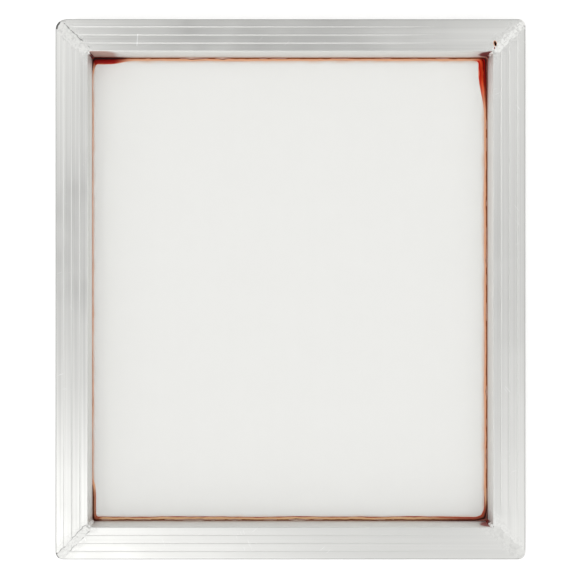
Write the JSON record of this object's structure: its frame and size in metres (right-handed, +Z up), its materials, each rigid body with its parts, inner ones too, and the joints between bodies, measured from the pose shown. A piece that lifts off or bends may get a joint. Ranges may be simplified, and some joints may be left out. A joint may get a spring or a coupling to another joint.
{
  "type": "screen printing frame",
  "caption": "Rectangular welded aluminium frame of hollow grooved rails, with a white mesh stretched over its underside and held by red adhesive, for screen printing.",
  "frame": {"origin": "centre of the mesh's underside, which is the middle of the base", "axes": "+X to the right and +Y to the back along the long side, seen from above; +Z up, from the mesh to the open side that the squeegee goes in"},
  "size_m": [0.508, 0.584, 0.0308],
  "materials": {
    "extrusion": "mill finish",
    "weld": "dressed weld",
    "mesh": "plain woven polyester",
    "adhesive": "glossy, translucent"
  },
  "bodies": {
    "root": {"mesh_fabric": "mesh", "rail_back": "extrusion", "glue_film_back": "adhesive", "glue_bead_back": "adhesive", "rail_front": "extrusion", "glue_film_front": "adhesive", "glue_bead_front": "adhesive", "rail_left": "extrusion", "glue_film_left": "adhesive", "glue_bead_left": "adhesive", "rail_right": "extrusion", "glue_film_right": "adhesive", "glue_bead_right": "adhesive", "face_weld_back_left": "weld", "outer_weld_back_left": "weld", "inner_weld_back_left": "weld", "base_weld_back_left": "weld", "face_weld_back_right": "weld", "outer_weld_back_right": "weld", "inner_weld_back_right": "weld", "base_weld_back_right": "weld", "face_weld_front_left": "weld", "outer_weld_front_left": "weld", "inner_weld_front_left": "weld", "base_weld_front_left": "weld", "face_weld_front_right": "weld", "outer_weld_front_right": "weld", "inner_weld_front_right": "weld", "base_weld_front_right": "weld"}
  },
  "joints": []
}
